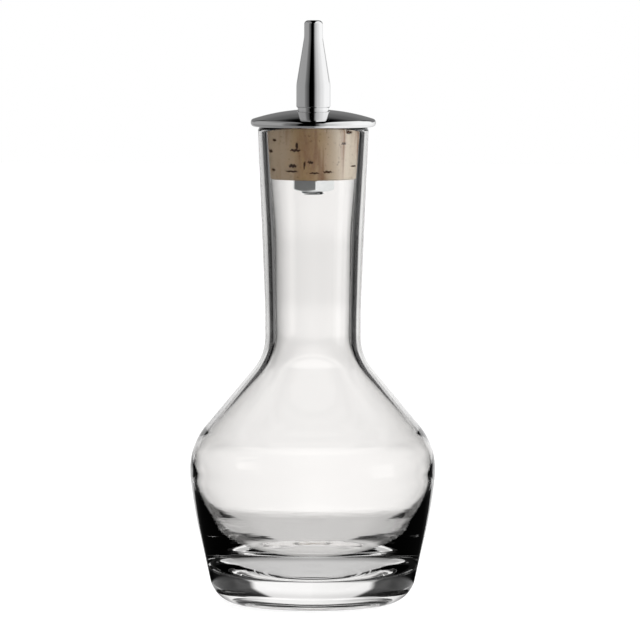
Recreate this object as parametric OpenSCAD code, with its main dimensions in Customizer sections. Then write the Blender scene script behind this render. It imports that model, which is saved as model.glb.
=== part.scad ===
// Bitters bottle: a small glass bottle with a long neck, closed by a cork that
// carries a domed metal cap, a tapered pouring spout, a hollow stem and a nut.
// Millimetres, +Z up. The origin is on the bottle's axis, on the surface it stands on.

/* [Glass bottle, outside] */
// Height of the glass from the table to the lip
bottle_h = 122.4; // [110:0.2:150]
// Largest width of the body
body_d = 63; // [56:0.5:76]
// Height of the widest place of the body
widest_h = 34.4; // [30:0.2:42]
// Radius that rounds the body into the shoulder
shoulder_r = 17.5; // [14:0.5:21]
// Slope of the shoulder, in degrees from the axis
shoulder_angle = 39.8; // [36:0.2:44]
// Lean of the upper side wall, in degrees from the axis
flank_lean = 6.8; // [4:0.2:9]
// Height where the side wall starts to draw in more to the foot
flank_h = 23.8; // [20:0.2:26]
// Lean of the lower side wall, in degrees from the axis
foot_lean = 13; // [10:0.5:15]
// Radius of the heel, between side wall and underside
heel_r = 7.8; // [6:0.2:10]
// Width of the neck at its narrowest
neck_d = 24.5; // [22:0.1:29]
// Height where the neck starts to widen to the mouth
waist_h = 75; // [72:0.5:84]
// Radius that blends the shoulder into the neck
neck_root_r = 13; // [9:0.5:15]
// Width of the glass at the lip
mouth_d = 28.4; // [27.6:0.1:34]

/* [Glass bottle, inside] */
// Bore at the lip
mouth_bore_d = 24.2; // [23:0.1:25]
// Height where the bore's wider taper for the cork starts
throat_h = 95; // [85:0.5:105]
// Bore at that height
throat_d = 20.2; // [19.4:0.1:21]
// Bore at the foot of the neck
neck_bore_d = 19.2; // [17:0.1:20.2]
// Wall at the foot of the neck, square to the shoulder
root_wall = 2.3; // [1.8:0.1:3]
// Radius inside, where the neck opens into the shoulder
inner_root_r = 15; // [10:0.5:17]
// Wall at the shoulder, level with its corner
shoulder_wall = 1; // [0.8:0.1:2]
// Radius inside the shoulder
inner_shoulder_r = 12; // [9:0.5:14]
// Height inside where the wall starts to thicken to the base
thick_h = 27; // [26:0.5:30]
// Wall at that height, measured level
flank_wall = 1.4; // [1.2:0.1:2.4]
// Wall at the corner of the cavity floor, measured level
heel_wall = 5; // [4:0.1:6]
// Thickness of the base at its centre, above the table
floor_h = 8; // [6.6:0.2:9]
// Width of the level middle of the cavity floor
floor_flat_d = 10; // [6:1:12]
// Rise of the cavity floor from its middle to its corner
floor_dish = 0.5; // [0.4:0.1:1.4]
// Radius inside, between floor and side wall
bowl_r = 20; // [14:0.5:22]

/* [Foot and lip] */
// Depth of the hollow under the base
punt_h = 1.4; // [0.5:0.1:2]
// Width of the flat ring that the bottle stands on
ring_w = 2; // [1:0.1:3]
// Radius on the outer edge of the lip
lip_outer_r = 1; // [0.5:0.1:1.1]
// Radius on the inner edge of the lip
lip_inner_r = 0.8; // [0.4:0.1:0.9]

/* [Cork] */
// Length of the cork
cork_h = 13.3; // [10:0.1:20]
// Gap between cork and glass all round
cork_gap = 0.12; // [0.05:0.01:0.3]
// Bevel on the cork's lower edge
cork_bevel = 0.3; // [0.1:0.1:1]

/* [Domed cap] */
// Width of the cap
cap_d = 32; // [30:0.2:38]
// Gap between the lip and the cap's underside
lip_gap = 0.1; // [0.05:0.05:0.3]
// Height of the cap over its underside, where the spout sits
cap_h = 4.2; // [3.6:0.1:6]
// Radius of the domed top
dome_r = 50; // [45:1:80]
// Radius on the upper edge of the rim
rim_r = 0.85; // [0.5:0.05:1]
// Radius on the lower edge of the rim
rim_under_r = 0.8; // [0.2:0.05:0.9]

/* [Spout] */
// Width of the spout's round foot
spout_d = 8.7; // [8:0.1:10]
// Height of the spout
spout_h = 22.9; // [20:0.1:32]
// Height of the foot, where the taper starts
spout_foot_h = 6.5; // [6:0.1:8]
// Height where the taper ends in the straight tip
spout_taper_h = 18.7; // [15:0.1:19]
// Width of the tip
tip_d = 4.75; // [4:0.05:5.5]
// Radius on the tip's edge
tip_edge_r = 1; // [0.3:0.1:1.2]
// Radius that blends the foot into the taper
spout_blend_r = 9; // [4:0.5:12]
// Pouring hole at the tip
pour_d = 1.6; // [1:0.1:1.8]
// Width of the neck that joins the spout to the cap
collar_d = 8; // [7.6:0.1:8.2]
// Height of that neck
collar_h = 0.6; // [0.4:0.1:1]

/* [Stem and nut] */
// Outer width of the hollow stem
stem_d = 6; // [5:0.1:6.4]
// Bore of the stem
stem_bore_d = 3; // [2:0.1:3.6]
// How far the stem reaches into the spout
stem_in_spout = 6; // [4:0.1:6.2]
// How far the stem shows below the nut
stem_below_nut = 0.95; // [0.5:0.05:3]
// Bevel on the stem's ends
stem_bevel = 0.4; // [0.2:0.1:0.6]
// Radial clearance of the stem in the cork and the cap
stem_gap = 0.08; // [0.05:0.01:0.1]
// Radial clearance that stands for the thread in the spout and the nut
thread_gap = 0.05; // [0.02:0.01:0.1]
// Width of the nut across its flats
nut_af = 10; // [9:0.1:12]
// Thickness of the nut
nut_h = 3.2; // [2.5:0.1:5]
// Width of the round faces that the nut's bevels leave
nut_face_d = 9.6; // [8:0.1:10]
// Turn of the nut about the stem, in degrees
nut_turn = 35.5; // [0:0.5:60]

/* [Hidden] */
$fn = 96;
// A rounded corner's steps turn no more than arc_step degrees and are no longer than arc_chord
arc_step = 3;
arc_chord = 0.9;
// How far a cutting body runs past the face that it cuts
past = 1;

// The shoulder corner is where the side wall and the shoulder slope would meet unrounded
shoulder_half_turn = (flank_lean + shoulder_angle) / 2;
shoulder_reach = shoulder_r / cos(shoulder_half_turn);
shoulder_dir = shoulder_half_turn - flank_lean;
shoulder_corner = [
    body_d / 2 - shoulder_r + shoulder_reach * cos(shoulder_dir),
    widest_h + shoulder_reach * sin(shoulder_dir)
];
flank_corner = [shoulder_corner.x - (shoulder_corner.y - flank_h) * tan(flank_lean), flank_h];
foot_corner = [flank_corner.x - flank_h * tan(foot_lean), 0];
flank_r = 120;
inner_flank_r = 37;
root_corner = [
    neck_d / 2,
    shoulder_corner.y + (shoulder_corner.x - neck_d / 2) / tan(shoulder_angle)
];
waist_r = 150;
throat_r = 150;

// Inner corners, each set from the outer one by its wall
inner_root = [
    neck_bore_d / 2,
    root_corner.y - (root_wall - (root_corner.x - neck_bore_d / 2) * cos(shoulder_angle))
        / sin(shoulder_angle)
];
inner_shoulder = [shoulder_corner.x - shoulder_wall, shoulder_corner.y];
inner_flank = [shoulder_corner.x - (shoulder_corner.y - thick_h) * tan(flank_lean) - flank_wall, thick_h];
inner_heel_z = floor_h + floor_dish;
inner_heel = [foot_corner.x + inner_heel_z * tan(foot_lean) - heel_wall, inner_heel_z];
floor_r = 40;

// The flat ring ends where the heel's arc starts
ring_outer = foot_corner.x - heel_r * tan((90 - foot_lean) / 2);
ring_inner = ring_outer - ring_w;
punt_flat = ring_inner / 2;
punt_r = 14;

// Heights up the stopper, each piece seated on the one below
cap_z = bottle_h + lip_gap;
cork_z = cap_z - cork_h;
nut_z = cork_z - nut_h;
stem_z = nut_z - stem_below_nut;
spout_z = cap_z + cap_h;
stem_h = spout_z + stem_in_spout - stem_z;
socket_end = stem_in_spout + 0.4;

// Radius of the glass bore at a height in the cork's taper, between throat and lip
function bore_r(z) =
    throat_d / 2 + (mouth_bore_d - throat_d) / 2 * (z - throat_h) / (bottle_h - throat_h);

function unit(v) = v / norm(v);

function turned(v, a) = [v.x * cos(a) - v.y * sin(a), v.x * sin(a) + v.y * cos(a)];

// The arc of radius r that rounds corner b between its neighbours a and c
function rounding(a, b, c, r) =
    let (
        u = unit(a - b),
        v = unit(c - b),
        half = acos(u * v) / 2,
        centre = b + unit(u + v) * r / sin(half),
        first = b + u * r / tan(half) - centre,
        sweep = (180 - 2 * half) * sign(cross(v, u)),
        arc_length = abs(sweep) * PI / 180 * r,
        steps = ceil(max(abs(sweep) / arc_step, arc_length / arc_chord))
    )
    [for (i = [0 : steps]) centre + turned(first, sweep * i / steps)];

// Length that rounding corner b with radius r takes from each of its sides
function taken(a, b, c, r) = r / tan(acos(unit(a - b) * unit(c - b)) / 2);

// An outline from corners [x, z, radius]; radius 0 keeps the corner sharp. Roundings that together need
// more than the side between them are drawn smaller, so that they meet on it.
function outline(corners) =
    let (
        n = len(corners),
        at = [for (c = corners) [c[0], c[1]]],
        take = [for (i = [0 : n - 1]) taken(at[(i + n - 1) % n], at[i], at[(i + 1) % n], corners[i][2])],
        fits = [
            for (i = [0 : n - 1])
                let (needed = take[i] + take[(i + 1) % n], side = norm(at[(i + 1) % n] - at[i]))
                needed > side ? side / needed : 1
        ]
    )
    [
        for (i = [0 : n - 1])
            let (before = (i + n - 1) % n, after = (i + 1) % n)
            each corners[i][2] == 0
                ? [at[i]]
                : rounding(at[before], at[i], at[after], corners[i][2] * min(fits[before], fits[i]))
    ];

// A corner with its rounding radius
function corner(p, r) = [p.x, p.y, r];

// A round solid turned from the outline of its half section
module turned_solid(corners) {
    rotate_extrude() polygon(outline(corners));
}

module glass_bottle() {
    color([0.86, 0.9, 0.9, 0.35])
        turned_solid([
            [0, punt_h, 0],
            [punt_flat, punt_h, punt_r],
            [ring_inner, 0, 0],
            corner(foot_corner, heel_r),
            corner(flank_corner, flank_r),
            corner(shoulder_corner, shoulder_r),
            corner(root_corner, neck_root_r),
            [neck_d / 2, waist_h, waist_r],
            [mouth_d / 2, bottle_h, lip_outer_r],
            [mouth_bore_d / 2, bottle_h, lip_inner_r],
            [throat_d / 2, throat_h, throat_r],
            corner(inner_root, inner_root_r),
            corner(inner_shoulder, inner_shoulder_r),
            corner(inner_flank, inner_flank_r),
            corner(inner_heel, bowl_r),
            [floor_flat_d / 2, floor_h, floor_r],
            [0, floor_h, 0]
        ]);
}

module cork_stopper() {
    foot_r = bore_r(cork_z) - cork_gap;
    color("tan")
        difference() {
            turned_solid([
                [0, cork_z, 0],
                [foot_r - cork_bevel, cork_z, 0],
                [bore_r(cork_z + cork_bevel) - cork_gap, cork_z + cork_bevel, 0],
                [bore_r(cap_z) - cork_gap, cap_z, 0],
                [0, cap_z, 0]
            ]);
            translate([0, 0, cork_z - past])
                cylinder(h = cork_h + 2 * past, r = stem_d / 2 + stem_gap);
        }
}

module dome_cap() {
    rim_r_out = cap_d / 2;
    // The dome's centre is set so that its top lies level with the spout's seat
    seat_r = collar_d / 2;
    dome_centre_z = spout_z - sqrt(dome_r * dome_r - seat_r * seat_r);
    rim_z = dome_centre_z + sqrt(dome_r * dome_r - rim_r_out * rim_r_out);
    dome_from = asin(seat_r / dome_r);
    dome_to = asin((rim_r_out - rim_r) / dome_r);
    dome_steps = 8;
    dome = [
        for (i = [0 : dome_steps])
            let (a = dome_from + (dome_to - dome_from) * i / dome_steps)
            [dome_r * sin(a), dome_centre_z + dome_r * cos(a), 0]
    ];
    color("silver")
        difference() {
            turned_solid([
                each dome,
                [rim_r_out, rim_z, rim_r],
                [rim_r_out, cap_z, rim_under_r],
                [0, cap_z, 0],
                [0, spout_z, 0]
            ]);
            translate([0, 0, cap_z - past])
                cylinder(h = cap_h + 2 * past, r = stem_d / 2 + stem_gap);
        }
}

module spout_nozzle() {
    foot_r = spout_d / 2;
    foot_bevel = 0.35;
    color("silver")
        translate([0, 0, spout_z])
            difference() {
                turned_solid([
                    [0, 0, 0],
                    [collar_d / 2, 0, 0],
                    [collar_d / 2, collar_h, 0],
                    [foot_r, collar_h, foot_bevel],
                    [foot_r, spout_foot_h, spout_blend_r],
                    [tip_d / 2, spout_taper_h, spout_blend_r],
                    [tip_d / 2, spout_h, tip_edge_r],
                    [0, spout_h, 0]
                ]);
                translate([0, 0, -past])
                    cylinder(h = socket_end + past, r = stem_d / 2 + thread_gap);
                // The passage narrows from the stem's bore to the pouring hole
                translate([0, 0, socket_end])
                    cylinder(h = spout_taper_h - socket_end, d1 = stem_bore_d, d2 = pour_d);
                cylinder(h = spout_h + past, d = pour_d);
            }
}

module threaded_stem() {
    color("gainsboro")
        translate([0, 0, stem_z])
            difference() {
                turned_solid([
                    [0, 0, 0],
                    [stem_d / 2 - stem_bevel, 0, 0],
                    [stem_d / 2, stem_bevel, 0],
                    [stem_d / 2, stem_h - stem_bevel, 0],
                    [stem_d / 2 - stem_bevel, stem_h, 0],
                    [0, stem_h, 0]
                ]);
                translate([0, 0, -past])
                    cylinder(h = stem_h + 2 * past, d = stem_bore_d);
            }
}

module lock_nut() {
    corner_r = nut_af / 2 / cos(30);
    bevel_h = (corner_r - nut_face_d / 2) * tan(30);
    color("gainsboro")
        translate([0, 0, nut_z])
            rotate([0, 0, nut_turn])
                difference() {
                    intersection() {
                        cylinder(h = nut_h, r = corner_r, $fn = 6);
                        turned_solid([
                            [0, 0, 0],
                            [nut_face_d / 2, 0, 0],
                            [corner_r, bevel_h, 0],
                            [corner_r, nut_h - bevel_h, 0],
                            [nut_face_d / 2, nut_h, 0],
                            [0, nut_h, 0]
                        ]);
                    }
                    translate([0, 0, -past])
                        cylinder(h = nut_h + 2 * past, r = stem_d / 2 + thread_gap);
                }
}

glass_bottle();
cork_stopper();
dome_cap();
spout_nozzle();
threaded_stem();
lock_nut();
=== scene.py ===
"""Bitters bottle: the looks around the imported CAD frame. Metres, +Z up, the camera looks along +Y."""
import math
import random

import bmesh
import bpy
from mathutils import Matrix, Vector


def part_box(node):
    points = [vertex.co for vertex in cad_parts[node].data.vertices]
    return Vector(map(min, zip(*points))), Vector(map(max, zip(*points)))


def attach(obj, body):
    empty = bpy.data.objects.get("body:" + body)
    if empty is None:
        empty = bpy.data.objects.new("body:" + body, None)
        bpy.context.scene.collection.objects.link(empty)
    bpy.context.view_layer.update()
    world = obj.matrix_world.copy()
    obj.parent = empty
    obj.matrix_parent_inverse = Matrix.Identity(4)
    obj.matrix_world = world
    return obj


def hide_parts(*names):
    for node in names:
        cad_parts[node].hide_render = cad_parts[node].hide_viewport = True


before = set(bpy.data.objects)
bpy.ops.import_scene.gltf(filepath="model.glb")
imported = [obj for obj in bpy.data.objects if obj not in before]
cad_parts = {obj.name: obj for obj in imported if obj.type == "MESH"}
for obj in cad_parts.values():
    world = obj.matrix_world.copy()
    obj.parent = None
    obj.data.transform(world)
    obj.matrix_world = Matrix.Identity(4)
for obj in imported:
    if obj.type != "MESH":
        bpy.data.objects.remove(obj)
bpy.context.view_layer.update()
MM = 0.001

# Camera, at the photograph's angle
CAMERA_DISTANCE = 1.80
CAMERA_HEIGHT = 0.205
AIM_HEIGHT = 0.0728
AIM_X = 0.0018
CAMERA_ROLL = math.radians(0.1)
FRAME_WIDTH_AT_BOTTLE = 0.1641
SENSOR = 36.0

# Turned pieces
SEGMENTS = 144
SEAM_TOLERANCE = 1e-6
WELD = 2e-7
LONGEST_STEP = 1.0 * MM
FINE_STEP = 0.4 * MM
SHARP_ANGLE = math.radians(32)


def srgb(red, green, blue):
    """A colour given in sRGB steps of 0 to 255, as linear RGBA."""
    def linear(c):
        c /= 255
        return c / 12.92 if c <= 0.04045 else ((c + 0.055) / 1.055) ** 2.4
    return (linear(red), linear(green), linear(blue), 1.0)


def grey(level):
    return (level, level, level, 1)


def smoothstep(low, high, value):
    t = min(1, max(0, (value - low) / (high - low)))
    return t * t * (3 - 2 * t)


# Mesh code

def half_section(node):
    """A turned node's half section as [radius, height] points in order, read along its seam at +X."""
    bm = bmesh.new()
    bm.from_mesh(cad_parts[node].data)
    bmesh.ops.remove_doubles(bm, verts=bm.verts, dist=WELD)
    seam = {v for v in bm.verts if abs(v.co.y) < SEAM_TOLERANCE and v.co.x > -SEAM_TOLERANCE}
    links = {v: [e.other_vert(v) for e in v.link_edges if e.other_vert(v) in seam] for v in seam}
    ends = [v for v in seam if len(links[v]) == 1]
    closed = not ends
    start = min(ends or seam, key=lambda v: (v.co.z, v.co.x))
    path = [start]
    while True:
        onward = [v for v in links[path[-1]] if v not in path[-2:]]
        if not onward or onward[0] is start:
            break
        path.append(onward[0])
    points = [(v.co.x, v.co.z) for v in path]
    bm.free()
    return points, closed


def stepped(points, closed, longest):
    """The same outline with points added, so that no step is longer than longest."""
    result = []
    last = len(points) if closed else len(points) - 1
    for i in range(last):
        a, b = points[i], points[(i + 1) % len(points)]
        steps = max(1, math.ceil(math.dist(a, b) / longest))
        for k in range(steps):
            t = k / steps
            result.append((a[0] + (b[0] - a[0]) * t, a[1] + (b[1] - a[1]) * t))
    if not closed:
        result.append(points[-1])
    return result


def turned(name, points, closed, radius_at, segments):
    """A mesh turned about Z from an outline. radius_at(radius, height, angle) may shape each point."""
    bm = bmesh.new()
    rings = []
    for radius, height in points:
        if radius < SEAM_TOLERANCE:
            rings.append([bm.verts.new((0, 0, height))])
            continue
        ring = []
        for s in range(segments):
            angle = 2 * math.pi * s / segments
            r = radius_at(radius, height, angle) if radius_at else radius
            ring.append(bm.verts.new((r * math.cos(angle), r * math.sin(angle), height)))
        rings.append(ring)
    pairs = list(zip(rings, rings[1:]))
    if closed:
        pairs.append((rings[-1], rings[0]))
    for a, b in pairs:
        for s in range(segments):
            t = (s + 1) % segments
            corners = [a[s % len(a)], b[s % len(b)], b[t % len(b)], a[t % len(a)]]
            unique = list(dict.fromkeys(corners))
            if len(unique) > 2:
                bm.faces.new(unique)
    bmesh.ops.recalc_face_normals(bm, faces=bm.faces)
    mesh = bpy.data.meshes.new(name)
    bm.to_mesh(mesh)
    bm.free()
    piece = bpy.data.objects.new(name, mesh)
    bpy.context.scene.collection.objects.link(piece)
    mesh.shade_smooth()
    mesh.set_sharp_from_angle(angle=SHARP_ANGLE)
    return piece


def turned_node(name, node, body, material,
                radius_at=None, longest=LONGEST_STEP, segments=SEGMENTS):
    """A smooth turned piece in place of a CAD node."""
    points, closed = half_section(node)
    if not closed:
        points = [(0.0, points[0][1])] * (points[0][0] > SEAM_TOLERANCE) + points
        points += [(0.0, points[-1][1])] * (points[-1][0] > SEAM_TOLERANCE)
    piece = turned(name, stepped(points, closed, longest), closed, radius_at, segments)
    piece.data.materials.append(material)
    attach(piece, body)
    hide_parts(node)
    return piece


# Node helpers

def new_material(name):
    mat = bpy.data.materials.new(name)
    mat.use_nodes = True
    tree = mat.node_tree
    return mat, tree, tree.nodes["Principled BSDF"]


def plug(tree, value, socket):
    """Sets a socket to a number or colour, or links it to another node's output."""
    if isinstance(value, (int, float, tuple)):
        socket.default_value = value
    else:
        tree.links.new(value, socket)


def calc(tree, operation, *values):
    """A Math node's output."""
    node = tree.nodes.new("ShaderNodeMath")
    node.operation = operation
    for value, socket in zip(values, node.inputs):
        plug(tree, value, socket)
    return node.outputs[0]


def blend(tree, factor, a, b):
    """A number between a and b."""
    node = tree.nodes.new("ShaderNodeMix")
    for value, name in ((factor, "Factor"), (a, "A"), (b, "B")):
        plug(tree, value, node.inputs[name])
    return node.outputs["Result"]


# The Mix node's sockets for colours, which share their names with the sockets for numbers
MIX_FACTOR, MIX_COLOUR_A, MIX_COLOUR_B, MIXED_COLOUR = 0, 6, 7, 2


def blend_colour(tree, factor, a, b):
    """A colour between a and b, each a colour or an output."""
    node = tree.nodes.new("ShaderNodeMix")
    node.data_type = "RGBA"
    for value, socket in ((factor, MIX_FACTOR), (a, MIX_COLOUR_A), (b, MIX_COLOUR_B)):
        plug(tree, value, node.inputs[socket])
    return node.outputs[MIXED_COLOUR]


def rise(tree, value, low, high, start=0.0, end=1.0):
    """Smooth change from start to end while value goes from low to high."""
    node = tree.nodes.new("ShaderNodeMapRange")
    node.interpolation_type = "SMOOTHSTEP"
    limits = (value, low, high, start, end)
    for limit, name in zip(limits, ("Value", "From Min", "From Max", "To Min", "To Max")):
        plug(tree, limit, node.inputs[name])
    return node.outputs["Result"]


def ramp(tree, value, stops):
    """A smooth ramp through [position, level] stops."""
    node = tree.nodes.new("ShaderNodeValToRGB")
    node.color_ramp.interpolation = "EASE"
    elements = node.color_ramp.elements
    while len(elements) < len(stops):
        elements.new(0.5)
    for element, (position, level) in zip(elements, stops):
        element.position = position
        element.color = grey(level)
    tree.links.new(value, node.inputs[0])
    return node.outputs["Color"]


def object_place(tree):
    """Object coordinates."""
    return tree.nodes.new("ShaderNodeTexCoord").outputs["Object"]


def split_vector(tree, vector):
    """A node with the outputs X, Y and Z of a vector."""
    node = tree.nodes.new("ShaderNodeSeparateXYZ")
    tree.links.new(vector, node.inputs[0])
    return node


def noise(tree, scale, detail, roughness=0.5, distortion=0.0):
    """Noise in object coordinates. scale is in cycles per metre along each axis."""
    place = tree.nodes.new("ShaderNodeMapping")
    place.inputs["Scale"].default_value = scale
    tree.links.new(object_place(tree), place.inputs["Vector"])
    node = tree.nodes.new("ShaderNodeTexNoise")
    node.inputs["Scale"].default_value = 1.0
    node.inputs["Detail"].default_value = detail
    node.inputs["Roughness"].default_value = roughness
    node.inputs["Distortion"].default_value = distortion
    tree.links.new(place.outputs["Vector"], node.inputs["Vector"])
    return node.outputs["Fac"]


def bump(tree, shader, height, distance, strength):
    node = tree.nodes.new("ShaderNodeBump")
    node.inputs["Distance"].default_value = distance
    plug(tree, strength, node.inputs["Strength"])
    tree.links.new(height, node.inputs["Height"])
    tree.links.new(node.outputs["Normal"], shader.inputs["Normal"])


# Glass

GLASS_TINT = srgb(254, 253, 252)
GLASS_IOR = 1.52
RIPPLE_SCALE = (55, 55, 620)
RIPPLE_DEPTH = 0.12 * MM
# The ripple's strength on all of the bottle, and what the thick lower wall adds between these heights
RIPPLE_EVERYWHERE = 0.012
RIPPLE_ON_WALL = 0.3
WALL_RIPPLE_UP = (15 * MM, 20 * MM)
WALL_RIPPLE_DOWN = (26 * MM, 34 * MM)


def glass_material():
    """Clear soda glass with the faint ripple that a mould and a gathered base leave."""
    mat, tree, shader = new_material("clear_glass")
    shader.inputs["Base Color"].default_value = GLASS_TINT
    shader.inputs["Transmission Weight"].default_value = 1.0
    shader.inputs["IOR"].default_value = GLASS_IOR
    shader.inputs["Roughness"].default_value = 0.0
    ripple = noise(tree, RIPPLE_SCALE, detail=2.0, distortion=0.6)
    height = split_vector(tree, object_place(tree)).outputs["Z"]
    low_wall = calc(tree, "MULTIPLY",
                    rise(tree, height, *WALL_RIPPLE_UP),
                    rise(tree, height, *WALL_RIPPLE_DOWN, 1.0, 0.0))
    strength = calc(tree, "MULTIPLY_ADD", low_wall, RIPPLE_ON_WALL, RIPPLE_EVERYWHERE)
    bump(tree, shader, ripple, RIPPLE_DEPTH, strength)
    return mat


# Metal

CHROME_CLEAN = (0.86, 0.86, 0.86, 1)
CHROME_SMUDGED = (0.80, 0.80, 0.805, 1)
CHROME_ROUGHNESS = 0.03
SMUDGE_ROUGHNESS = 0.05
MARK_ROUGHNESS = 0.015
MARK_DEPTH = 0.002 * MM
STEEL_BRIGHT = srgb(236, 239, 240)
STEEL_DULL = srgb(218, 222, 223)
STEEL_ROUGHNESS = 0.08
STEEL_ROUGHER_BY = 0.1
TURNING_DEPTH = 0.01 * MM


def chrome_material():
    """Polished chrome plate, with faint handling marks that break the shine a little."""
    mat, tree, shader = new_material("chrome")
    shader.inputs["Metallic"].default_value = 1.0
    smudge = noise(tree, (160, 160, 90), detail=5.0, roughness=0.6)
    marks = noise(tree, (1400, 1400, 300), detail=2.0)
    tone = blend_colour(tree, smudge, CHROME_CLEAN, CHROME_SMUDGED)
    tree.links.new(tone, shader.inputs["Base Color"])
    smudged = rise(tree, smudge, 0.5, 0.8)
    gloss = calc(tree, "MULTIPLY_ADD", smudged, SMUDGE_ROUGHNESS, CHROME_ROUGHNESS)
    tree.links.new(calc(tree, "MULTIPLY_ADD", marks, MARK_ROUGHNESS, gloss), shader.inputs["Roughness"])
    bump(tree, shader, marks, MARK_DEPTH, 0.25)
    return mat


def steel_material():
    """Bright turned steel: fine rings about the axis and a slightly duller tone in patches."""
    mat, tree, shader = new_material("steel")
    shader.inputs["Metallic"].default_value = 1.0
    rings = noise(tree, (250, 250, 9000), detail=2.0)
    patches = noise(tree, (420, 420, 420), detail=4.0)
    tree.links.new(blend_colour(tree, patches, STEEL_BRIGHT, STEEL_DULL), shader.inputs["Base Color"])
    roughness = calc(tree, "MULTIPLY_ADD", patches, STEEL_ROUGHER_BY, STEEL_ROUGHNESS)
    tree.links.new(roughness, shader.inputs["Roughness"])
    bump(tree, shader, rings, TURNING_DEPTH, 0.4)
    return mat


# Cork

# The pale tone is painted light on the cork's right side, toward the lamp, and the grey tone is a painted
# haze on its left side; the other tones are the cork's own colours
CORK_PAINTED_LIGHT_RIGHT = srgb(236, 226, 210)
CORK_TAN = srgb(190, 154, 104)
CORK_PAINTED_HAZE_LEFT = srgb(205, 184, 158)
CORK_RED = srgb(150, 104, 70)
CORK_LIGHT = srgb(222, 205, 180)
CORK_DARK = srgb(104, 72, 46)
CORK_PIT = srgb(78, 50, 28)
# How far the broad noise shifts the borders between the tones, which lie across the cork in X: a painted
# haze on the left, tan in the middle, painted light on the lit right side
CORK_MOTTLE = 6 * MM
PAINTED_HAZE_TO_TAN = (-4 * MM, 0.0)
TAN_TO_PAINTED_LIGHT = (2 * MM, 12 * MM)
GRAIN_TINT = 0.35
SPECK_TINT = 0.45
GRAIN_DEPTH = 0.05 * MM
PIT_ATTRIBUTE = "lenticel"


def cork_material():
    """Natural cork: tan with reddish growth streaks along the axis, fine pores and dark lenticels, with
    painted light: paler on the lit right side in +X and greyer with a painted haze on the left.
    """
    mat, tree, shader = new_material("natural_cork")
    shader.inputs["Specular IOR Level"].default_value = 0.25
    streaks = noise(tree, (330, 330, 32), detail=4.0, roughness=0.55, distortion=0.4)
    broad = noise(tree, (120, 120, 45), detail=2.0)
    grain = noise(tree, (2600, 2600, 2100), detail=3.0, roughness=0.65)
    specks = noise(tree, (1500, 1500, 1900), detail=2.0)
    place = split_vector(tree, object_place(tree))
    # Painted light: the tone turns greyer with a painted haze toward -X and paler toward +X, the lit side
    across = calc(tree, "MULTIPLY_ADD", broad, CORK_MOTTLE, place.outputs["X"])
    tone = blend_colour(tree, rise(tree, across, *PAINTED_HAZE_TO_TAN), CORK_PAINTED_HAZE_LEFT, CORK_TAN)
    tone = blend_colour(tree, rise(tree, across, *TAN_TO_PAINTED_LIGHT), tone, CORK_PAINTED_LIGHT_RIGHT)
    tone = blend_colour(tree, rise(tree, streaks, 0.46, 0.7), tone, CORK_RED)
    tone = blend_colour(tree, calc(tree, "MULTIPLY", grain, GRAIN_TINT), tone, CORK_LIGHT)
    tone = blend_colour(tree, rise(tree, specks, 0.63, 0.72, 0.0, SPECK_TINT), tone, CORK_DARK)
    pits = tree.nodes.new("ShaderNodeAttribute")
    pits.attribute_name = PIT_ATTRIBUTE
    depth = pits.outputs["Fac"]
    ragged = calc(tree, "MULTIPLY", depth, calc(tree, "MULTIPLY_ADD", grain, 1.4, 0.3))
    tone = blend_colour(tree, rise(tree, ragged, 0.12, 0.62), tone, CORK_PIT)
    tree.links.new(tone, shader.inputs["Base Color"])
    tree.links.new(rise(tree, depth, 0.0, 1.0, 0.78, 0.95), shader.inputs["Roughness"])
    bump(tree, shader, grain, GRAIN_DEPTH, 0.6)
    return mat


# Lenticels on the seen side: degrees from the camera's side, then mm up from the foot, width, height
SEEN_LENTICELS = (
    (-22, 7.7, 3.0, 0.75), (-20, 8.7, 0.7, 1.9), (-26, 3.7, 2.3, 0.95), (-3.5, 4.7, 1.5, 0.8),
    (-28, 2.3, 3.6, 0.45), (1, 1.9, 2.9, 0.45), (18, 2.2, 2.5, 0.6), (-52, 10.2, 1.6, 0.7),
    (-62, 7.3, 2.6, 1.0), (-57, 2.5, 1.7, 0.7), (46, 12.1, 1.9, 0.6), (39, 9.4, 1.6, 0.7),
    (58, 3.5, 2.6, 0.4), (-11, 4.0, 0.5, 2.2),
)
# The unseen ones: how many, and their ranges in degrees and in mm
UNSEEN_LENTICELS = 26
UNSEEN_SEED = 11
UNSEEN_DEGREES = (75, 285)
UNSEEN_UP = (0.8, 12.4)
UNSEEN_HALF_WIDTH = (0.6, 1.8)
UNSEEN_HALF_HEIGHT = (0.2, 0.5)
LENTICEL_DEPTH = 0.3 * MM
# A lenticel's edge, as shares of its half size, and how far its wavy outline reaches
LENTICEL_EDGE = (0.45, 1.25)
LENTICEL_REACH = 1.6
CORK_ROUGHNESS = 0.03 * MM
CORK_BORE = 5 * MM
CORK_SEGMENTS = 320
CORK_STEP = 0.16 * MM


def lenticels():
    """All lenticels as [angle, height, half width, half height], the unseen sides filled by rule."""
    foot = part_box("cork_stopper")[0][2]
    towards_camera = -math.pi / 2
    result = []
    for degrees, up, width, height in SEEN_LENTICELS:
        angle = towards_camera + math.radians(degrees)
        result.append((angle, foot + up * MM, width * MM / 2, height * MM / 2))
    draw = random.Random(UNSEEN_SEED)
    for _ in range(UNSEEN_LENTICELS):
        angle = towards_camera + math.radians(draw.uniform(*UNSEEN_DEGREES))
        up = foot + draw.uniform(*UNSEEN_UP) * MM
        half_width = draw.uniform(*UNSEEN_HALF_WIDTH) * MM
        half_height = draw.uniform(*UNSEEN_HALF_HEIGHT) * MM
        result.append((angle, up, half_width, half_height))
    return result


LENTICELS = lenticels()


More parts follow.
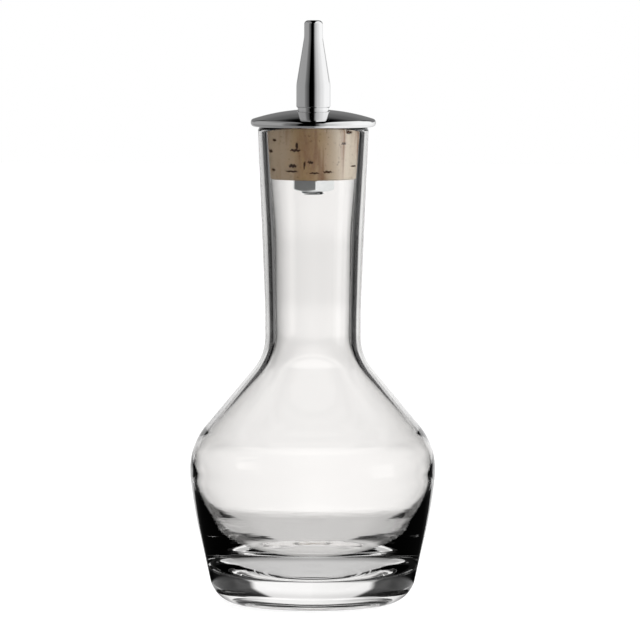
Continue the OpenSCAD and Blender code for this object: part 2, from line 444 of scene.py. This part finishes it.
def lenticel_depth(radius, height, angle):
    """How deep in a lenticel a point of the cork's side lies, from 0 to 1."""
    deepest = 0.0
    for centre, up, half_width, half_height in LENTICELS:
        above = (height - up) / half_height
        if abs(above) > LENTICEL_REACH:
            continue
        turn = (angle - centre + math.pi) % (2 * math.pi) - math.pi
        along = radius * turn / half_width
        wavy = 0.35 * math.sin(9 * along + 40 * centre) + 0.2 * math.sin(23 * along)
        distance = math.hypot(along, above + wavy)
        deepest = max(deepest, 1 - smoothstep(*LENTICEL_EDGE, distance))
    return deepest


def cork_radius(radius, height, angle):
    """The cork's side, never outside its CAD radius: pits at the lenticels and an uneven surface."""
    if radius < CORK_BORE:
        return radius
    waves = math.sin(7 * angle + 900 * height) + math.sin(17 * angle - 2300 * height)
    uneven = 0.5 + 0.25 * waves
    return radius - CORK_ROUGHNESS * uneven - LENTICEL_DEPTH * lenticel_depth(radius, height, angle)


def make_cork():
    cork = turned_node("cork", "cork_stopper", "stopper", cork_material(),
                       cork_radius, CORK_STEP, CORK_SEGMENTS)
    layer = cork.data.attributes.new(PIT_ATTRIBUTE, "FLOAT", "POINT")
    for vertex, value in zip(cork.data.vertices, layer.data):
        x, y, z = vertex.co
        radius = math.hypot(x, y)
        if radius > CORK_BORE:
            value.value = lenticel_depth(radius, z, math.atan2(y, x))


# The stem's thread

THREAD_PITCH = 1.0 * MM
THREAD_DEPTH = 0.5 * MM
# The groove's flanks, as shares of half a pitch
THREAD_FLANK = (0.12, 0.9)
STEM_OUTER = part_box("threaded_stem")[1][0]
STEM_BORE = 1.6 * MM
STEM_STEP = 0.125 * MM
STEM_SEGMENTS = 64


def thread_radius(radius, height, angle):
    """The stem's outside cut with a thread below its CAD radius. The bore stays as it is."""
    if radius < STEM_BORE:
        return radius
    turn = (height / THREAD_PITCH - angle / (2 * math.pi)) % 1
    groove = 1 - abs(2 * turn - 1)
    crest = STEM_OUTER - THREAD_DEPTH * smoothstep(*THREAD_FLANK, groove)
    return min(radius, crest)


# The pieces

turned_node("bottle_glass", "glass_bottle", "bottle", glass_material())
make_cork()
chrome = chrome_material()
for piece_name, cad_node in (("cap", "dome_cap"), ("spout", "spout_nozzle")):
    turned_node(piece_name, cad_node, "dasher", chrome, longest=FINE_STEP)
steel = steel_material()
turned_node("stem", "threaded_stem", "dasher", steel, thread_radius, STEM_STEP, STEM_SEGMENTS)
nut_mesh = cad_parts["lock_nut"].data
nut_mesh.materials.clear()
nut_mesh.materials.append(steel)


# The studio. Azimuth is counted from the far side of the bottle, positive to the right, in degrees.

# What the glass shows: a white screen behind, dark flags to both sides, narrow soft boxes in front
NEAR_HORIZON_IN_GLASS = (
    (-180, 0.1), (-145, 0.08), (-139, 0.2), (-122, 0.2), (-116, 0.03), (-85, 0.01), (-62, 0.01),
    (-60, 0.03), (-57, 0.22), (-50, 0.22), (-47, 0.0), (-29, 0.0), (-25.5, 0.45), (-18, 0.7),
    (-8, 0.95), (0, 1.04), (16, 1.06), (25.5, 0.75), (29, 0.0), (49, 0.0), (52, 0.14), (59, 0.14),
    (62, 0.0), (96, 0.05), (100, 1.25), (120, 1.25), (126, 0.1), (180, 0.1),
)
# The same further up and on the near floor, where the screen's edges are sharp
SHARP_IN_GLASS = (
    (-180, 0.3), (-150, 0.1), (-110, 0.01), (-50, 0.01), (-33, 0.04), (-28, 1.02), (-10, 1.08),
    (5, 1.12), (28, 1.12), (33, 0.04), (50, 0.01), (110, 0.01), (150, 0.1), (180, 0.3),
)
# The metal's view of the floor
FLOOR_IN_METAL = (
    (-180, 0.2), (-120, 0.24), (-40, 0.3), (0, 0.6), (40, 1.0), (150, 1.0), (172, 0.5), (180, 0.2),
)
# What the polished metal shows at its own height: grey left, a black gap in front, white right.
# Each wall fades towards the gap.
GREY_WALL = 0.37
WHITE_WALL = 1.1
SEEN_IN_METAL = (
    (-180, 0.0), (-155, 0.0), (-145, 0.1), (-130, 0.18), (-115, GREY_WALL), (-10, 0.4), (10, 0.5),
    (30, 0.95), (45, WHITE_WALL), (90, WHITE_WALL), (120, 0.9), (150, 0.65), (165, 0.4), (172, 0.1),
    (177, 0.0), (180, 0.0),
)
# Directions in glass, by the height Z of the unit vector: where the screen's edges turn sharp, and
# where the screen darkens from one share to the other
SHARPENS = (0.08, 0.16)
DARKENS = (0.12, 0.3)
FAR_SHARE = 0.9
HIGH_SHARE = 0.74
# The screen narrows above this height
ARCH_START = math.sin(math.radians(5))
ARCH_TAPER = 0.9
OVERHEAD_FROM = (0.5, 0.8)
OVERHEAD_IN_GLASS = 0.9
# The floor through glass: a painted shadow of the bottle, dim behind it and bright in front of it, by Y
REAR_FLOOR_PAINTED_SHADOW = 0.6
FRONT_FLOOR = 1.0
FRONT_TO_REAR = (-0.029, -0.024)
# The same by distance from the axis: the dark sides begin, a gap in them, and the far floor begins beyond
# the painted shadow
DARK_SIDES_FROM = (0.020, 0.026)
GAP_FROM = (0.029, 0.031)
GAP_TO = (0.041, 0.045)
NEAR_TO_FAR = (0.045, 0.076)
SHARP_TO_SOFT = (0.3, 0.7)
FAR_FLOOR_DARKENS = (0.8, 2.0)
# The metal's view of the backdrop, from the horizon up, and where it lies
BACKDROP = ((0.0, 0.22), (0.25, 0.2), (0.45, 0.12), (0.57, 0.0), (1.0, 0.0))
BACKDROP_EDGE = (math.radians(36), math.radians(46))
BACKDROP_FOOT = (0.03, 0.07)
# The metal's view of the ceiling: soft light left and right of a black middle
CEILING_FROM = (0.57, 0.66)
CEILING_LEFT = 0.25
CEILING_RIGHT = 1.0
CEILING_GAP = 0.26
CEILING_EDGE = 0.36


def by_azimuth(tree, azimuth, stops):
    """A ramp over the whole circle of azimuths."""
    share = calc(tree, "MULTIPLY_ADD", azimuth, 0.5 / math.pi, 0.5)
    return ramp(tree, share, [(degrees / 360 + 0.5, level) for degrees, level in stops])


def azimuth_of(tree, split):
    return calc(tree, "ARCTAN2", split.outputs["X"], split.outputs["Y"])


def studio_in_glass(tree, azimuth, height):
    """The screen behind the bottle narrows upward, so height moves a direction aside."""
    over = calc(tree, "MAXIMUM", calc(tree, "SUBTRACT", height, ARCH_START), 0.0)
    side = calc(tree, "SIGN", azimuth)
    aside = calc(tree, "MULTIPLY_ADD", calc(tree, "MULTIPLY", over, ARCH_TAPER), side, azimuth)
    low = by_azimuth(tree, aside, NEAR_HORIZON_IN_GLASS)
    high = by_azimuth(tree, aside, SHARP_IN_GLASS)
    level = blend(tree, rise(tree, height, *SHARPENS), low, high)
    level = calc(tree, "MULTIPLY", level, rise(tree, height, *DARKENS, FAR_SHARE, HIGH_SHARE))
    return calc(tree, "MAXIMUM", level, rise(tree, height, *OVERHEAD_FROM, 0.0, OVERHEAD_IN_GLASS))


def studio_in_metal(tree, azimuth, split):
    """Walls at eye height, a grey backdrop, and a ceiling that is black between two soft lights."""
    height = split.outputs["Z"]
    turn = calc(tree, "ABSOLUTE", azimuth)
    level = by_azimuth(tree, azimuth, SEEN_IN_METAL)
    behind = rise(tree, turn, *BACKDROP_EDGE, 1.0, 0.0)
    patch = calc(tree, "MULTIPLY", behind, rise(tree, height, *BACKDROP_FOOT))
    level = blend(tree, patch, level, ramp(tree, height, BACKDROP))
    left = rise(tree, split.outputs["X"], -CEILING_EDGE, -CEILING_GAP, CEILING_LEFT, 0.0)
    right = rise(tree, split.outputs["X"], CEILING_GAP, CEILING_EDGE, 0.0, CEILING_RIGHT)
    return blend(tree, rise(tree, height, *CEILING_FROM), level, calc(tree, "ADD", left, right))


def floor_in_glass(tree, split, distance, azimuth):
    """The floor as the glass shows it, with a painted shadow near the bottle, and further out."""
    sharp = by_azimuth(tree, azimuth, SHARP_IN_GLASS)
    # Painted shadow: the near floor dims behind the bottle
    near = rise(tree, split.outputs["Y"], *FRONT_TO_REAR, FRONT_FLOOR, REAR_FLOOR_PAINTED_SHADOW)
    gap = calc(tree, "MULTIPLY", rise(tree, distance, *GAP_FROM), rise(tree, distance, *GAP_TO, 1.0, 0.0))
    dark_sides = calc(tree, "MULTIPLY",
                      rise(tree, distance, *DARK_SIDES_FROM), calc(tree, "SUBTRACT", 1.0, gap))
    sides = blend(tree, dark_sides, 1.0, calc(tree, "MINIMUM", sharp, 1.0))
    near = calc(tree, "MULTIPLY", near, sides)
    soft = by_azimuth(tree, azimuth, NEAR_HORIZON_IN_GLASS)
    far = blend(tree, rise(tree, distance, *SHARP_TO_SOFT), sharp, soft)
    far = calc(tree, "MULTIPLY", far, rise(tree, distance, *FAR_FLOOR_DARKENS, 1.0, FAR_SHARE))
    return blend(tree, rise(tree, distance, *NEAR_TO_FAR), near, far)


# The floor, just under the bottle
FLOOR_DROP = 0.1 * MM
FLOOR_X = 1.3
FLOOR_FRONT = -0.6
FLOOR_BACK = 2.2
FLOOR_WHITE = 0.82
FLOOR_ALBEDO = 0.3


def floor_material():
    mat, tree, shader = new_material("pale_floor")
    # The plain floor: near white, with the bottle's soft shadow from its diffuse share
    shader.inputs["Base Color"].default_value = grey(FLOOR_ALBEDO)
    shader.inputs["Roughness"].default_value = 0.9
    shader.inputs["Specular IOR Level"].default_value = 0.0
    shader.inputs["Emission Color"].default_value = grey(1)
    shader.inputs["Emission Strength"].default_value = FLOOR_WHITE
    # What metal and glass mirror or bend instead. Only glass makes singular rays.
    place = object_place(tree)
    split = split_vector(tree, place)
    away = tree.nodes.new("ShaderNodeVectorMath")
    away.operation = "LENGTH"
    tree.links.new(place, away.inputs[0])
    azimuth = azimuth_of(tree, split)
    in_glass = floor_in_glass(tree, split, away.outputs["Value"], azimuth)
    path = tree.nodes.new("ShaderNodeLightPath")
    in_metal = by_azimuth(tree, azimuth, FLOOR_IN_METAL)
    glow = tree.nodes.new("ShaderNodeEmission")
    level = blend(tree, path.outputs["Is Singular Ray"], in_metal, in_glass)
    tree.links.new(level, glow.inputs["Strength"])
    mix = tree.nodes.new("ShaderNodeMixShader")
    bent = calc(tree, "MAXIMUM", path.outputs["Is Glossy Ray"], path.outputs["Is Transmission Ray"])
    tree.links.new(bent, mix.inputs[0])
    tree.links.new(shader.outputs[0], mix.inputs[1])
    tree.links.new(glow.outputs[0], mix.inputs[2])
    tree.links.new(mix.outputs[0], tree.nodes["Material Output"].inputs["Surface"])
    return mat


def make_floor():
    mesh = bpy.data.meshes.new("floor")
    corners = [
        (-FLOOR_X, FLOOR_FRONT, -FLOOR_DROP), (FLOOR_X, FLOOR_FRONT, -FLOOR_DROP),
        (FLOOR_X, FLOOR_BACK, -FLOOR_DROP), (-FLOOR_X, FLOOR_BACK, -FLOOR_DROP),
    ]
    mesh.from_pydata(corners, [], [(0, 1, 2, 3)])
    mesh.materials.append(floor_material())
    floor = bpy.data.objects.new("floor", mesh)
    bpy.context.scene.collection.objects.link(floor)


# The plain light on matt surfaces, as a ramp over the direction's X from -1 to 1
PLAIN_LIGHT = ((0.0, 1.7), (0.35, 0.45), (0.55, 0.45), (1.0, 3.2))


def make_world():
    """White to the camera. Metal and glass see the studio, and matt surfaces a plain light."""
    world = bpy.data.worlds.new("studio")
    bpy.context.scene.world = world
    world.use_nodes = True
    tree = world.node_tree
    tree.nodes.clear()
    split = split_vector(tree, tree.nodes.new("ShaderNodeTexCoord").outputs["Generated"])
    azimuth = azimuth_of(tree, split)
    in_glass = studio_in_glass(tree, azimuth, split.outputs["Z"])
    in_metal = studio_in_metal(tree, azimuth, split)
    plain = ramp(tree, calc(tree, "MULTIPLY_ADD", split.outputs["X"], 0.5, 0.5), PLAIN_LIGHT)
    path = tree.nodes.new("ShaderNodeLightPath")
    level = blend(tree, path.outputs["Is Singular Ray"], in_metal, in_glass)
    from_matt = calc(tree, "MINIMUM", path.outputs["Diffuse Depth"], 1.0)
    level = blend(tree, from_matt, level, plain)
    level = blend(tree, path.outputs["Is Camera Ray"], level, 1.0)
    background = tree.nodes.new("ShaderNodeBackground")
    background.inputs["Color"].default_value = grey(1)
    tree.links.new(level, background.inputs["Strength"])
    output = tree.nodes.new("ShaderNodeOutputWorld")
    tree.links.new(background.outputs[0], output.inputs["Surface"])


# One soft lamp from the right, for the cork and the floor's shadow. Metal and glass don't show it.
KEY_PLACE = Vector((0.9, -0.5, 0.7))
KEY_AIM = Vector((0, 0, 0.075))
KEY_SIZE = (0.6, 0.8)
KEY_POWER = 6


def turn_towards(thing, aim):
    """Turns a lamp or camera so that it looks at a point."""
    thing.rotation_euler = (aim - thing.location).to_track_quat("-Z", "Y").to_euler()


def make_key_light():
    lamp = bpy.data.lights.new("key_right", "AREA")
    lamp.shape = "RECTANGLE"
    lamp.size, lamp.size_y = KEY_SIZE
    lamp.energy = KEY_POWER
    thing = bpy.data.objects.new("key_right", lamp)
    thing.location = KEY_PLACE
    turn_towards(thing, KEY_AIM)
    bpy.context.scene.collection.objects.link(thing)
    thing.visible_transmission = False
    thing.visible_glossy = False


def make_camera():
    camera = bpy.data.cameras.new("camera")
    camera.sensor_width = SENSOR
    aim = Vector((AIM_X, 0, AIM_HEIGHT))
    place = Vector((AIM_X, -CAMERA_DISTANCE, CAMERA_HEIGHT))
    camera.lens = SENSOR * (aim - place).length / FRAME_WIDTH_AT_BOTTLE
    thing = bpy.data.objects.new("camera", camera)
    thing.location = place
    turn_towards(thing, aim)
    thing.rotation_euler.rotate_axis("Z", CAMERA_ROLL)
    bpy.context.scene.collection.objects.link(thing)
    bpy.context.scene.camera = thing


# Light paths through the thick base need many bounces
LIGHT_BOUNCES = 24

make_camera()
make_floor()
make_world()
make_key_light()

bpy.context.scene.view_settings.view_transform = "Standard"
bpy.context.scene.cycles.max_bounces = LIGHT_BOUNCES
bpy.context.scene.cycles.transmission_bounces = LIGHT_BOUNCES
